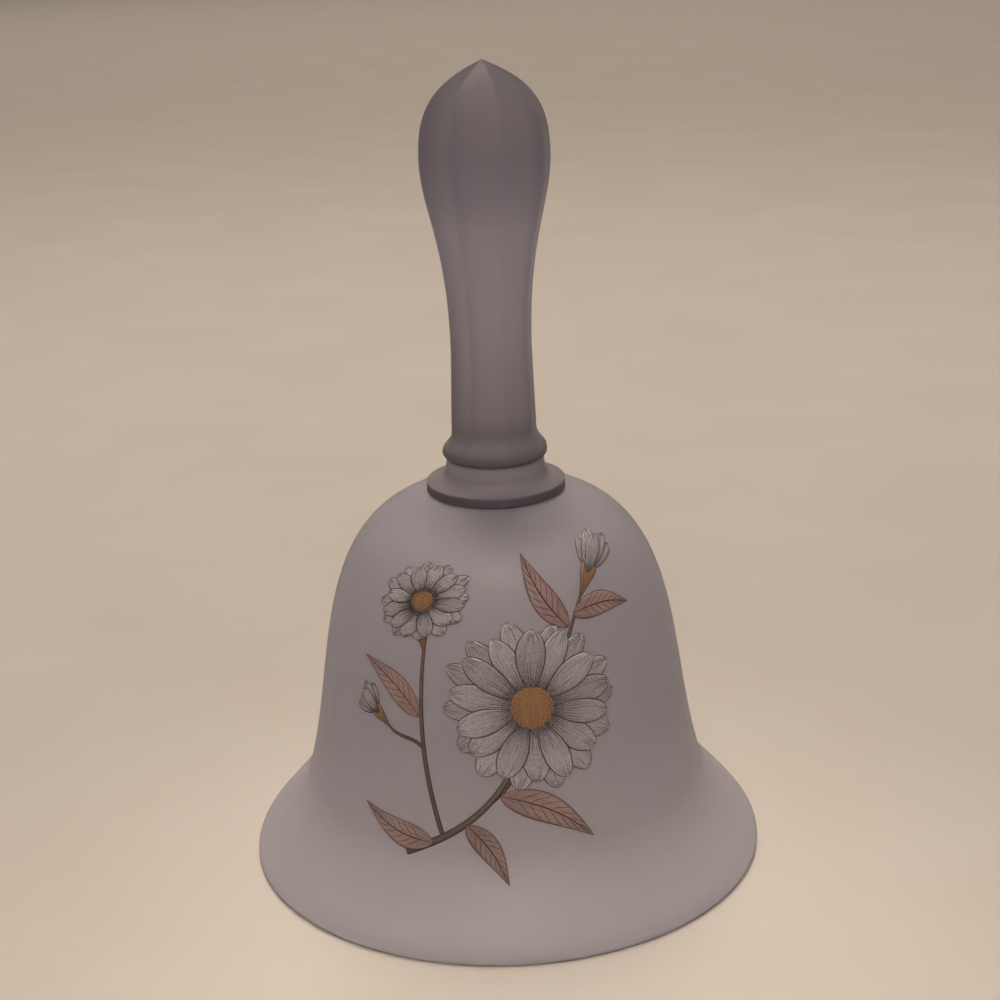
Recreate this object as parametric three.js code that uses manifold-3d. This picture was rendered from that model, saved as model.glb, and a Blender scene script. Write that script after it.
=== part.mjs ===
// A satin-glass dinner bell: a pressed glass bowl with a flared lip, a panelled glass handle bonded
// to its crown, and a bead clapper on a short wire chain that hangs from an eye set in the ceiling.
// Millimetres, +Z up. The origin is the centre of the rim, in the plane that the bell stands on.
import * as THREE from "three";
import { mergeVertices } from "three/addons/utils/BufferGeometryUtils.js";
import Module from "manifold-3d";

const wasm = await Module();
wasm.setup();

// Bowl
const RIM_RADIUS = 54.2; // outside of the lip
const WALL = 3.4; // glass thickness from the lip to the shoulder
const LIP_ROUND = 1.1; // each edge of the lip; the flat land between them is what the bell stands on
const WAIST_RADIUS = 42.1; // where the flare ends and the side begins
const WAIST_HEIGHT = 18.1;
const WAIST_LEAN = 0.3; // radius lost for each millimetre of height at the waist
const CROWN_HEIGHT = 78.9; // flat seat of the handle
const CROWN_RISE = 0.25; // height gained for each millimetre of radius lost at the edge of the seat
const CROWN_THICKNESS = 6.4; // glass between the seat and the ceiling
const SEAT_MARGIN = 0.8; // flat glass that shows round the collar
const LIP_PULL = 3.6; // lengths of the tangents that shape the outside
const FLARE_PULL = 5.5;
const SIDE_PULL = 24.8;
const SHOULDER_PULL = 25;
const CEILING_RADIUS = 14; // flat part of the ceiling
const CEILING_ROUND = 5; // height over which the inner wall turns into the ceiling

// Handle, station by station upwards from the collar's underside
const COLLAR_RADIUS = 14.2;
const COLLAR_EDGE = 2.05; // height of the collar's upright edge
const COLLAR_ROUND = 0.4;
const COLLAR_FALL = 1.7; // fall of the collar's sloping top from the neck to the edge
const COVE_RISE = 3.4; // hollow curve from the collar up to the neck
const NECK_RADIUS = 9.95;
const NECK_RISE = 1.6;
const RING_RADIUS = 10.8; // bulged ring at the foot of the shaft
const RING_RISE = 1.4;
const FOOT_RADIUS = 9.2;
const FOOT_RISE = 5.4;
const SHAFT_RADIUS = 8.5; // slimmest part of the grip
const SHAFT_RISE = 16;
const BULB_RADIUS = 13.4;
const BULB_RISE = 37.75;
const TIP_RISE = 18.25;
const TIP_SLOPE = 0.42; // fall for each millimetre outwards at the tip
const FOOT_PULL = 4.5; // lengths of the tangents that shape the grip
const SHAFT_PULL = 22;
const BULB_PULL = 10;
const TIP_PULL = 10.5;
const PANELS = 8;
const PANEL_TURN = THREE.MathUtils.degToRad(-8.4); // first panel's middle, from +X
const PANEL_CRISPNESS = 30; // higher leaves less rounding along the panel edges

// Bond between collar and crown
const BOND_THICKNESS = 0.25;
const BOND_INSET = 0.9; // from the collar's edge

// Hanger: a wire eye whose shank is cemented into a socket in the ceiling
const SOCKET_RADIUS = 2.6;
const SOCKET_DEPTH = 4;
const CEMENT_CLEARANCE = 0.2; // cement to glass, and cement to shank
const CEMENT_CROWN = 0.6; // how far the cement stands below the ceiling
const EYE_WIRE = 0.6; // radius of the wire
const EYE_LOOP = 2.3; // loop radius to the middle of the wire
const EYE_BEND = 0.9; // bend between loop and shank

// Chain of oval links, each a piece of wire bent round with an open seam
const LINK_WIRE = 0.5;
const LINK_END = 1.75; // radius of a link's round ends to the middle of the wire
const LINK_SEAM = 0.4;
const LINK_COUNT = 7;
const HANG_CLEARANCE = 0.1; // between wires that hang in each other

// Clapper: a drilled bead on a headed pin with a loop
const PIN_WIRE = 0.5;
const PIN_LOOP = 1.9;
const PIN_BEND = 0.8;
const PIN_NECK = 0.4; // straight wire between the loop's bend and the bead
const LOOP_GAP = 0.4; // where a wire loop ends beside its own shank
const BEAD_RADIUS = 6.5;
const BEAD_HOLE_CLEARANCE = 0.15;
const PIN_HEAD_RADIUS = 1.5;
const PIN_HEAD_HEIGHT = 0.8;
const PIN_HEAD_CLEARANCE = 0.1;
const STANDING_CLEARANCE = 7; // height of the hanging clapper over the table

// Facets
const TURNED_SIDES = 48;
const SMALL_SIDES = 24;
const FLARE_STEPS = 6; // facets up the flare
const SIDE_STEPS = 10; // facets from the waist to the seat
const CEILING_STEPS = 6;
const LIP_STEPS = 4; // facets round each edge of the lip
const COLLAR_STEPS = 2;
const NECK_STEPS = 4;
const GRIP_STEPS = 7; // facets up each stretch of the grip
const BEAD_STEPS = 16; // facets from pole to pole
const PANEL_STEPS = 6; // facets across one panel of the handle
const WIRE_SIDES = 8;
const WIRE_STEP = 0.75; // length of one facet along a wire

const satinGlass = new THREE.MeshStandardMaterial({ color: 0x9b93a3, roughness: 0.55, metalness: 0 });
const clearBond = new THREE.MeshStandardMaterial({ color: 0xc9c4cc, roughness: 0.3, metalness: 0 });
const cement = new THREE.MeshStandardMaterial({ color: 0xd8d3c4, roughness: 0.8, metalness: 0 });
const platedWire = new THREE.MeshStandardMaterial({ color: 0xb9bbbd, roughness: 0.3, metalness: 1 });
const clearGlass = new THREE.MeshStandardMaterial({ color: 0xd9d6e0, roughness: 0.1, metalness: 0 });

const point = (across, up) => new THREE.Vector2(across, up);
const along = (start, direction, length) => start.clone().addScaledVector(direction, length);

function piece(name, geometry, material) {
  const mesh = new THREE.Mesh(geometry, material);
  mesh.name = name;
  return mesh;
}

// Outline given as points of radius and height, revolved about Z.
function turned(outline, sides) {
  return new THREE.LatheGeometry(outline, sides).rotateX(Math.PI / 2);
}

// Bowl: one outline from the socket, down the inside, round the lip and up the outside to the seat.
const seatRadius = COLLAR_RADIUS + SEAT_MARGIN;
const ceilingHeight = CROWN_HEIGHT - CROWN_THICKNESS;
const socketTop = ceilingHeight + SOCKET_DEPTH;

function bowlOutside() {
  const lip = point(RIM_RADIUS, LIP_ROUND);
  const waist = point(WAIST_RADIUS, WAIST_HEIGHT);
  const seatEdge = point(seatRadius, CROWN_HEIGHT);
  const upSide = point(-WAIST_LEAN, 1).normalize();
  const inShoulder = point(-1, CROWN_RISE).normalize();
  const flare = new THREE.CubicBezierCurve(
    lip,
    along(lip, point(0, 1), LIP_PULL),
    along(waist, upSide, -FLARE_PULL),
    waist,
  );
  const side = new THREE.CubicBezierCurve(
    waist,
    along(waist, upSide, SIDE_PULL),
    along(seatEdge, inShoulder, -SHOULDER_PULL),
    seatEdge,
  );
  return [[flare, FLARE_STEPS], [side, SIDE_STEPS]];
}

// Points at one wall thickness inside the outside, up to the height where the ceiling begins to turn.
function bowlInside(curves) {
  const turnHeight = ceilingHeight - CEILING_ROUND;
  const wall = [];
  for (const [curve, steps] of curves) {
    for (let i = 0; i < steps; i++) {
      const tangent = curve.getTangent(i / steps);
      const inward = point(-tangent.y, tangent.x);
      const inner = along(curve.getPoint(i / steps), inward, WALL);
      if (inner.y < turnHeight) wall.push(inner);
    }
  }
  const last = wall.at(-1);
  const heading = last.clone().sub(wall.at(-2)).normalize();
  const corner = along(last, heading, (ceilingHeight - last.y) / heading.y);
  const ceiling = new THREE.QuadraticBezierCurve(last, corner, point(CEILING_RADIUS, ceilingHeight));
  return [...wall, ...ceiling.getPoints(CEILING_STEPS).slice(1)];
}

function makeBowl() {
  const curves = bowlOutside();
  const outside = curves.flatMap(([curve, steps]) => curve.getPoints(steps).slice(0, steps));
  const lip = new THREE.Path();
  lip.absarc(RIM_RADIUS - WALL + LIP_ROUND, LIP_ROUND, LIP_ROUND, Math.PI, 1.5 * Math.PI);
  lip.absarc(RIM_RADIUS - LIP_ROUND, LIP_ROUND, LIP_ROUND, -0.5 * Math.PI, 0);
  const outline = [
    point(0, socketTop),
    point(SOCKET_RADIUS, socketTop),
    point(SOCKET_RADIUS, ceilingHeight),
    ...bowlInside(curves).reverse(),
    ...lip.getPoints(LIP_STEPS / 2).slice(1, -1),
    ...outside,
    point(seatRadius, CROWN_HEIGHT),
    point(0, CROWN_HEIGHT),
  ];
  return turned(outline, TURNED_SIDES);
}

// Handle: a loft of rings that are round at the collar and eight-sided along the grip.
const collarHeight = CROWN_HEIGHT + BOND_THICKNESS;
const collarTop = collarHeight + COLLAR_EDGE;
const neckHeight = collarTop + COVE_RISE;
const creaseHeight = neckHeight + NECK_RISE;
const ringHeight = creaseHeight + RING_RISE;
const footHeight = ringHeight + FOOT_RISE;
const shaftHeight = footHeight + SHAFT_RISE;
const bulbHeight = shaftHeight + BULB_RISE;
const tipHeight = bulbHeight + TIP_RISE;

function handleOutline() {
  const outward = point(1, -TIP_SLOPE).normalize();
  const tip = point(0, tipHeight);
  const tipPull = along(tip, outward, TIP_PULL);
  const collar = new THREE.Path();
  collar.moveTo(COLLAR_RADIUS - COLLAR_ROUND, collarHeight);
  collar.quadraticCurveTo(COLLAR_RADIUS, collarHeight, COLLAR_RADIUS, collarHeight + COLLAR_ROUND);
  collar.lineTo(COLLAR_RADIUS, collarTop - COLLAR_ROUND);
  collar.quadraticCurveTo(COLLAR_RADIUS, collarTop, COLLAR_RADIUS - COLLAR_ROUND, collarTop);
  const neck = new THREE.Path();
  neck.moveTo(COLLAR_RADIUS - COLLAR_ROUND, collarTop);
  neck.quadraticCurveTo(NECK_RADIUS, collarTop + COLLAR_FALL, NECK_RADIUS, neckHeight);
  neck.lineTo(NECK_RADIUS, creaseHeight);
  neck.quadraticCurveTo(RING_RADIUS, creaseHeight, RING_RADIUS, ringHeight);
  const grip = new THREE.Path();
  grip.moveTo(RING_RADIUS, ringHeight);
  grip.bezierCurveTo(
    RING_RADIUS, ringHeight + FOOT_RISE / 2,
    FOOT_RADIUS, footHeight - FOOT_RISE / 2,
    FOOT_RADIUS, footHeight,
  );
  grip.bezierCurveTo(
    FOOT_RADIUS, footHeight + FOOT_PULL,
    SHAFT_RADIUS, shaftHeight - FOOT_PULL,
    SHAFT_RADIUS, shaftHeight,
  );
  grip.bezierCurveTo(
    SHAFT_RADIUS, shaftHeight + SHAFT_PULL,
    BULB_RADIUS, bulbHeight - BULB_PULL,
    BULB_RADIUS, bulbHeight,
  );
  grip.bezierCurveTo(BULB_RADIUS, bulbHeight + BULB_PULL, tipPull.x, tipPull.y, tip.x, tip.y);
  return [
    ...collar.getPoints(COLLAR_STEPS),
    ...neck.getPoints(NECK_STEPS).slice(1),
    ...grip.getPoints(GRIP_STEPS).slice(1),
  ];
}

// Radius of the softened polygon in one direction, as a share of its corner radius.
function panelShare(angle) {
  let sum = 0;
  for (let k = 0; k < PANELS; k++) {
    const facing = Math.cos(angle - (2 * Math.PI * k) / PANELS);
    if (facing > 0) sum += facing ** PANEL_CRISPNESS;
  }
  return Math.cos(Math.PI / PANELS) * sum ** (-1 / PANEL_CRISPNESS);
}

function makeHandle() {
  const outline = handleOutline().slice(0, -1);
  const sides = PANELS * PANEL_STEPS;
  const positions = [];
  for (const { x: radius, y: height } of outline) {
    const panelled = THREE.MathUtils.smoothstep(height, ringHeight, footHeight);
    for (let i = 0; i < sides; i++) {
      const angle = (2 * Math.PI * i) / sides;
      const reach = radius * THREE.MathUtils.lerp(1, panelShare(angle), panelled);
      positions.push(reach * Math.cos(angle), reach * Math.sin(angle), height);
    }
  }
  const underside = outline.length * sides;
  const tip = underside + 1;
  positions.push(0, 0, collarHeight, 0, 0, tipHeight);
  const triangles = [];
  for (let i = 0; i < sides; i++) {
    const next = (i + 1) % sides;
    for (let ring = 0; ring + 1 < outline.length; ring++) {
      const low = ring * sides;
      const high = low + sides;
      triangles.push(low + i, low + next, high + next, low + i, high + next, high + i);
    }
    const last = underside - sides;
    triangles.push(underside, next, i, tip, last + i, last + next);
  }
  const geometry = new THREE.BufferGeometry();
  geometry.setAttribute("position", new THREE.Float32BufferAttribute(positions, 3));
  geometry.setIndex(triangles);
  geometry.computeVertexNormals();
  return geometry.rotateZ(PANEL_TURN);
}

function makeBond() {
  const bond = new THREE.CylinderGeometry(
    COLLAR_RADIUS - BOND_INSET,
    COLLAR_RADIUS - BOND_INSET,
    BOND_THICKNESS,
    TURNED_SIDES,
  );
  return bond.rotateX(Math.PI / 2).translate(0, 0, CROWN_HEIGHT + BOND_THICKNESS / 2);
}

// Wire: a round section swept along a flat path that is drawn in the XZ plane.
class FlatWire extends THREE.Curve {
  constructor(path) {
    super();
    this.path = path;
  }
  getPoint(t) {
    const { x, y } = this.path.getPoint(t);
    return new THREE.Vector3(x, 0, y);
  }
}

function wire(path, radius) {
  const section = new THREE.Shape().absarc(0, 0, radius, 0, 2 * Math.PI);
  return new THREE.ExtrudeGeometry(section, {
    curveSegments: WIRE_SIDES / 2,
    steps: Math.ceil(path.getLength() / WIRE_STEP),
    extrudePath: new FlatWire(path),
  });
}

// Distance from a loop's centre to the start of its straight shank.
const shankStart = (loop, bend) => Math.sqrt(loop * loop + 2 * loop * bend);

// A wire eye round the origin, with its shank running down for the given length.
function eyePath(loop, bend, shank, wireRadius) {
  const start = -shankStart(loop, bend);
  const tail = Math.asin((2 * wireRadius + LOOP_GAP) / loop);
  const path = new THREE.Path();
  path.moveTo(0, start - shank);
  path.lineTo(0, start);
  path.absarc(bend, start, bend, Math.PI, Math.atan2(-start, -bend), true);
  path.absarc(0, 0, loop, Math.atan2(start, bend), 1.5 * Math.PI - tail);
  return path;
}

// Hanger
const cementBottom = ceilingHeight - CEMENT_CROWN;
const eyeHeight = cementBottom - shankStart(EYE_LOOP, EYE_BEND);
const hookHeight = eyeHeight - EYE_LOOP; // middle of the wire that the first link hangs on

function makeCement() {
  const bore = EYE_WIRE + CEMENT_CLEARANCE;
  const outer = SOCKET_RADIUS - CEMENT_CLEARANCE;
  const top = socketTop - CEMENT_CLEARANCE;
  const outline = [
    point(bore, top),
    point(bore, cementBottom),
    point((bore + outer) / 2, cementBottom),
    point(outer, ceilingHeight - CEMENT_CROWN / 3),
    point(outer, top),
    point(bore, top),
  ];
  return turned(outline, SMALL_SIDES);
}

function makeEye() {
  const shank = socketTop - CEMENT_CLEARANCE - cementBottom;
  return wire(eyePath(EYE_LOOP, EYE_BEND, shank, EYE_WIRE), EYE_WIRE)
    .rotateY(Math.PI)
    .translate(0, 0, eyeHeight);
}

// Clapper, from the table up to the foot of the last link
const beadHoleRadius = PIN_WIRE + BEAD_HOLE_CLEARANCE;
const beadHalf = Math.sqrt(BEAD_RADIUS ** 2 - beadHoleRadius ** 2); // centre to the rim of the hole
const beadHeight = STANDING_CLEARANCE + PIN_HEAD_HEIGHT + PIN_HEAD_CLEARANCE + beadHalf;
const pinLoopHeight = beadHeight + beadHalf + PIN_NECK + shankStart(PIN_LOOP, PIN_BEND);
const lastLinkFoot = pinLoopHeight + PIN_LOOP - PIN_WIRE - LINK_WIRE - HANG_CLEARANCE;

// Chain: links just long enough to reach from the eye to the clapper, each turned a quarter from the last
const firstOverlap = EYE_WIRE + LINK_WIRE + HANG_CLEARANCE;
const linkOverlap = 2 * LINK_WIRE + HANG_CLEARANCE;
const chainDrop = hookHeight - lastLinkFoot;
const linkSpan = (chainDrop + firstOverlap + (LINK_COUNT - 1) * linkOverlap) / LINK_COUNT;
const linkPitch = linkSpan - linkOverlap;

function makeLink() {
  const half = linkSpan / 2 - LINK_END;
  const path = new THREE.Path();
  path.moveTo(LINK_END, LINK_SEAM / 2);
  path.lineTo(LINK_END, half);
  path.absarc(0, half, LINK_END, 0, Math.PI);
  path.lineTo(-LINK_END, -half);
  path.absarc(0, -half, LINK_END, Math.PI, 2 * Math.PI);
  path.lineTo(LINK_END, -LINK_SEAM / 2);
  return wire(path, LINK_WIRE);
}

function makeBead() {
  const edge = Math.asin(beadHoleRadius / BEAD_RADIUS);
  const ball = new THREE.Path();
  ball.absarc(0, 0, BEAD_RADIUS, edge - Math.PI / 2, Math.PI / 2 - edge);
  const outline = ball.getPoints(BEAD_STEPS / 2);
  return turned([...outline, outline[0].clone()], SMALL_SIDES).translate(0, 0, beadHeight);
}

// Closed geometry as a solid for joining.
function solid(geometry) {
  const bare = geometry.clone();
  bare.deleteAttribute("normal");
  bare.deleteAttribute("uv");
  const merged = mergeVertices(bare);
  return new wasm.Manifold(
    new wasm.Mesh({
      numProp: 3,
      vertProperties: merged.attributes.position.array,
      triVerts: new Uint32Array(merged.index.array),
    }),
  );
}

function joined(first, second) {
  const mesh = solid(first).add(solid(second)).getMesh();
  const geometry = new THREE.BufferGeometry();
  geometry.setAttribute("position", new THREE.BufferAttribute(mesh.vertProperties, 3));
  geometry.setIndex(new THREE.BufferAttribute(mesh.triVerts, 1));
  geometry.computeVertexNormals();
  return geometry;
}

function makePin() {
  const shank = PIN_NECK + 2 * beadHalf + PIN_HEAD_CLEARANCE + PIN_HEAD_HEIGHT / 2;
  const stem = wire(eyePath(PIN_LOOP, PIN_BEND, shank, PIN_WIRE), PIN_WIRE);
  const headHeight = -shankStart(PIN_LOOP, PIN_BEND) - shank;
  const head = new THREE.CylinderGeometry(PIN_HEAD_RADIUS, PIN_HEAD_RADIUS, PIN_HEAD_HEIGHT, SMALL_SIDES);
  head.rotateX(Math.PI / 2).translate(0, 0, headHeight);
  return joined(stem, head).translate(0, 0, pinLoopHeight);
}

// Assembly
const bell = new THREE.Group();
bell.add(piece("bell_bowl", makeBowl(), satinGlass));
bell.add(piece("handle", makeHandle(), satinGlass));
bell.add(piece("handle_bond", makeBond(), clearBond));
bell.add(piece("hanger_cement", makeCement(), cement));
bell.add(piece("hanger_eye", makeEye(), platedWire));

const chain = new THREE.Group();
for (let i = 0; i < LINK_COUNT; i++) {
  const link = piece(`chain_link_${i + 1}`, makeLink(), platedWire);
  link.rotation.z = i % 2 === 0 ? Math.PI / 2 : 0;
  link.position.z = hookHeight + firstOverlap - linkSpan / 2 - i * linkPitch;
  chain.add(link);
}
bell.add(chain);

const clapper = new THREE.Group();
clapper.add(piece("clapper_pin", makePin(), platedWire));
clapper.add(piece("clapper_bead", makeBead(), clearGlass));
clapper.rotation.z = LINK_COUNT % 2 === 0 ? Math.PI / 2 : 0;
bell.add(clapper);

export default bell;
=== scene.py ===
import bisect
import math
import random

import bmesh
import bpy
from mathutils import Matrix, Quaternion, Vector


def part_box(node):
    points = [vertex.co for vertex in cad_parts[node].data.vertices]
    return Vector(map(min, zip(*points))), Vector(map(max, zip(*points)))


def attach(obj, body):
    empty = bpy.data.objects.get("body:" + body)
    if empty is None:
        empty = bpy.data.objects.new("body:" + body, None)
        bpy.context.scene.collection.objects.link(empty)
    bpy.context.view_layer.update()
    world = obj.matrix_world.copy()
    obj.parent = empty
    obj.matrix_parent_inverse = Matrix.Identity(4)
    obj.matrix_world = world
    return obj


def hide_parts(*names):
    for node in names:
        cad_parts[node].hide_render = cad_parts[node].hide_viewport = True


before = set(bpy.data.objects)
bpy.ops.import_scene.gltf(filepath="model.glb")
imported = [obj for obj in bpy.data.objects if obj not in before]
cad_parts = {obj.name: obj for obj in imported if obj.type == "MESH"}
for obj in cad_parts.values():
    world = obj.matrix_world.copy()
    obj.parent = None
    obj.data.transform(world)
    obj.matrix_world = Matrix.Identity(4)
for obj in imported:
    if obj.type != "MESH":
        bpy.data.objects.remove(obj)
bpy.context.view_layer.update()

MM = 0.001


def node_box(name):
    """Lowest and highest corner of a solid of the frame, in millimetres."""
    low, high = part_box(name)
    return low / MM, high / MM


def half_size(name):
    """Half of a solid's width, depth and height, in millimetres to the third place."""
    low, high = node_box(name)
    return [round(side / 2, 3) for side in high - low]


# Bowl
RIM_RADIUS = node_box("bell_bowl")[1].x
CROWN_HEIGHT = node_box("bell_bowl")[1].z
WALL = 3.4
LIP_ROUND = 1.1
WAIST_RADIUS = 42.1
WAIST_HEIGHT = 18.1
WAIST_LEAN = 0.3  # radius lost for each millimetre of height at the waist
CROWN_RISE = 0.25  # height gained for each millimetre of radius lost at the seat's edge
CROWN_THICKNESS = 6.4
SEAT_RADIUS = 15  # flat seat of the handle
LIP_PULL = 3.6  # lengths of the tangents that shape the outside
FLARE_PULL = 5.5
SIDE_PULL = 24.8
SHOULDER_PULL = 25
CEILING_RADIUS = 14
CEILING_ROUND = 5  # height over which the inner wall turns into the ceiling
SOCKET_RADIUS = 2.6
SOCKET_DEPTH = 4

# Handle, from the collar upwards. Each rise is measured from the station below.
COLLAR_RADIUS = 14.2
COLLAR_EDGE = 2.05  # height of the collar's upright edge
COLLAR_ROUND = 0.25
COLLAR_FALL = 1.5  # fall of the collar's top from the neck to the edge
COVE_ROUND = 0.5  # lengths that the cove takes of the collar's slope and the neck
NECK_RADIUS = 9.95
NECK_TAPER = 0.35  # by which the neck widens towards the collar
NECK_RISE = 5  # from the collar's edge
CREASE_DEPTH = 0.45  # of the step between the neck and the ring
RING_RADIUS = 10.85
RING_RISE = 1.6
FOOT_RADIUS = 9
FOOT_RISE = 4.1
SHAFT_RADIUS = 8.5
SHAFT_RISE = 17.1
BULB_RADIUS = 13.4
BULB_RISE = 37.75
FLANK_SHARE = 0.65  # of the way from the shaft up to the bulb, where the glass has its brightest painted light
TIP_SLOPE = 0.42  # height lost for each millimetre of radius at the tip
RING_PULL = 1.1  # lengths of the tangents that shape the grip
FOOT_PULL = 2.2
SHAFT_PULL = 22
BULB_PULL = 10
TIP_PULL = 10.5
PANELS = 8
PANEL_TURN = math.radians(-8.4)  # first panel's middle, from +X
PANEL_CRISPNESS = 44  # higher rounds the panels' edges less
PANEL_RISE = 4.2  # height over the crease in which the panels take shape

# Bond and hanger
BOND_RADIUS = half_size("handle_bond")[0]
BOND_CLEARANCE = 0.01  # film to glass
CEMENT_CLEARANCE = 0.2
CEMENT_CROWN = 0.6  # how far the cement stands below the ceiling
EYE_WIRE = half_size("hanger_eye")[1]  # a wire goes by its radius
EYE_LOOP = 2.3
EYE_BEND = 0.9

# Chain and clapper
LINKS = sum(name.startswith("chain_link_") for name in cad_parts)
LINK_WIRE, link_reach, _ = sorted(half_size("chain_link_1"))
LINK_END = link_reach - LINK_WIRE  # radius of the round ends, at the wire's middle
LINK_SEAM = 0.4
PIN_WIRE = 0.5
PIN_LOOP = 1.9
PIN_BEND = 0.8
PIN_HEAD_RADIUS = half_size("clapper_pin")[1]
PIN_HEAD_HEIGHT = 0.8
LOOP_GAP = 0.4
BEAD_HOLE_RADIUS = 0.65
BEAD_HOLE_EASE = 0.2  # softened edge of the drilled hole
WIRE_EASE = 0.12  # softened ends of a cut wire

# Print: enamel on the outside of the bowl. A place on it is in millimetres across and up from the middle
# of the print, measured along the glass, and each layer lies a little over the one before.
PRINT_HEIGHT = 48  # from the lip up to the print's middle
PRINT_SEED = 7
FILM = 0.02  # thickness of the enamel
FIRST_LIFT = 0.03  # top of the lowest layer over the glass
LAYER = 0.014  # from one layer to the next
STEM, BRANCH, LEAF, CALYX, BACK_PETAL, FRONT_PETAL, DISC = 0, 1, 2, 4, 5, 7, 9  # layers, upwards
INK_LIFT = 0.45  # of a drawn line over the patch that it lies on, in layers
OUTLINE = 0.2  # widths of drawn lines
HATCH = 0.1
VEIN = 0.13
PATCH_STEP = 0.8  # length of a patch's faces
END_SHARE = 0.012  # left off both ends of a shape, where its sides meet
DOT_ANGLES = (0.3, 0.9, 1.57, 2.24, 2.84)  # of a dot's rows, in radians from its foot
PETAL_LINES = (-0.75, -0.5, -0.25, 0, 0.25, 0.5, 0.75)  # places of shading lines across a petal
TIP_LINE_CHANCE = 0.6  # that a shading line comes back at the petal's tip
TIP_NOTCH = 0.035  # depth of the notch in a petal's end, in shares of its length
PETAL_START = 0.17  # from a bloom's middle, in shares of its radius
PETAL_WIDTH = 1.42  # against a petal's part of the way round at half the bloom's radius
FRONT_SHARE = 0.9  # reach of the front petals against the back ones
DISC_SHARE = 0.235  # radius of a bloom's middle against the bloom's
GOLDEN_TURN = 137.5  # degrees from one floret to the next
FLORETS = 90
FRINGE_DOTS = 110
LEAF_TAPER = 0.35  # share of a leaf's width that is lost up to its tip
LEAF_VEINS = 7  # on each side of the rib
VEIN_FOOT = 0.06  # shares of the rib: up to one step below the first vein
VEIN_STEP = 0.105  # from one vein to the next
VEIN_CLIMB = 0.17  # from a vein's start to its end
VEIN_SPAN = 0.9  # share of the leaf's half width that a vein crosses
VEIN_BOW = 0.85  # under 1 bows a vein towards the tip
VEIN_FACES = 6
STEM_FOOT = 1.15  # width of a stem at its foot, against its own
STEM_TAPER = 0.4  # lost of it up to the end
STEM_ROWS = (-1, -0.33, 0.33, 1)  # places of the points across a stem
CUP_FOOT = 0.14  # width of a cup at the stem, against its own
CUP_TURN = 0.75  # share of the way up from which the cup draws in
CUP_DOME = 0.1  # rise of the cup's mouth in its middle, in shares of its length
CUP_LINES = (-1, -0.5, 0, 0.5, 1)  # places of drawn lines across a cup
BUD_MOUTH = 0.36  # from a bud's base to its petals, in shares of its length
BUD_PETALS = ((-26, 2), (26, 2), (-13, 3), (13, 4), (0, 5))  # lean in degrees and layer
STEMS = (  # four points of a curve, the width and the layer
    (((-3.7, -17.6), (7, -9), (10, 8), (16.5, 22)), 0.75, STEM),
    (((-12.8, -24.8), (-17, -12), (-17.5, 0), (-15.5, 13)), 0.8, STEM),
    (((-16.7, -7), (-19, -5), (-22, -6.5), (-24.5, -4)), 0.6, BRANCH),
    (((-21, -28.5), (-12, -24.5), (-3, -20), (2, -9)), 1.2, BRANCH),
)
LEAVES = (  # base, tip, width and bend
    ((-15, -25.9), (-31, -21), 6, 1.4),
    ((-8.1, -21.7), (0, -33.5), 5.4, 1),
    ((-1.3, -15.7), (17.5, -26), 6.6, 1.6),
    ((-17, -1), (-30.5, 8.5), 6, -1.2),
    ((14.4, 18.6), (28.5, 17.5), 5.4, 1.2),
    ((13.4, 16), (4.2, 32), 5.6, 1.2),
)
BUDS = (  # base, direction in degrees and length
    ((16.4, 21.6), 63, 14),
    ((-24.2, -4.2), 143, 10.5),
)
BLOOM_CUP = ((-15.6, 12.4), 97, 5.4, 5)  # base, direction in degrees, length and width
BLOOMS = (  # middle, radius, petals in a ring, squash and the direction that it faces
    ((5.5, 1.5), 18.5, 14, 0.94, 70),
    ((-15.8, 21.6), 11.5, 12, 0.64, 118),
)

# Stage, with the camera where the photograph was taken from
CAMERA_PLACE = (0, -353.4, 194.9)
CAMERA_TARGET = (0.7, 0, 76.2)
CAMERA_ROLL = math.radians(-1.92)
CAMERA_LENS = 65.04
FLOOR_SIZE = 12000
FLOOR_DROP = 0.05  # under the rim's land
LIGHT_COLOUR = (1.0, 0.85, 0.72)
WORLD_COLOUR = (0.62, 0.53, 0.44, 1)
WORLD_STRENGTH = 0.37

# Fineness of the meshes
BOWL_SIDES = 256
HANDLE_SIDES = 160
SMALL_SIDES = 48
WIRE_SIDES = 20
CURVE_STEPS = 40
CORNER_STEPS = CURVE_STEPS // 4
SHARP_ANGLE = math.radians(42)  # between faces whose edge stays sharp
WIRE_STEP = 0.6  # between the points of a straight stretch


# Curves

def bezier(start, leave, arrive, end, steps=CURVE_STEPS):
    """Points of a cubic curve, and its heading at each."""
    points = []
    headings = []
    for i in range(steps + 1):
        t = i / steps
        s = 1 - t
        points.append(s**3 * start + 3 * s * s * t * leave + 3 * s * t * t * arrive + t**3 * end)
        heading = s * s * (leave - start) + 2 * s * t * (arrive - leave) + t * t * (end - arrive)
        headings.append(heading.normalized())
    return points, headings


def corner_curve(start, corner, end):
    """Points of a curve that rounds a corner."""
    points = []
    for i in range(CORNER_STEPS + 1):
        t = i / CORNER_STEPS
        points.append(start.lerp(corner, t).lerp(corner.lerp(end, t), t))
    return points


def left_of(heading):
    """The heading after a quarter turn to the left."""
    return Vector((-heading.y, heading.x))


def half_wave(share):
    """0 at both ends of a stretch and 1 in its middle."""
    return max(0.0, math.sin(math.pi * share))


def swell(share, lean, power):
    """0 at both ends and 1 between: a higher lean moves the 1 onwards, a lower power blunts the ends."""
    return half_wave(share**lean) ** power


def arc(centre, radius, start, end, steps=CORNER_STEPS):
    """Points on part of a circle."""
    points = []
    for i in range(steps + 1):
        angle = start + (end - start) * i / steps
        points.append(centre + radius * Vector((math.cos(angle), math.sin(angle))))
    return points


# Meshes

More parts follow.
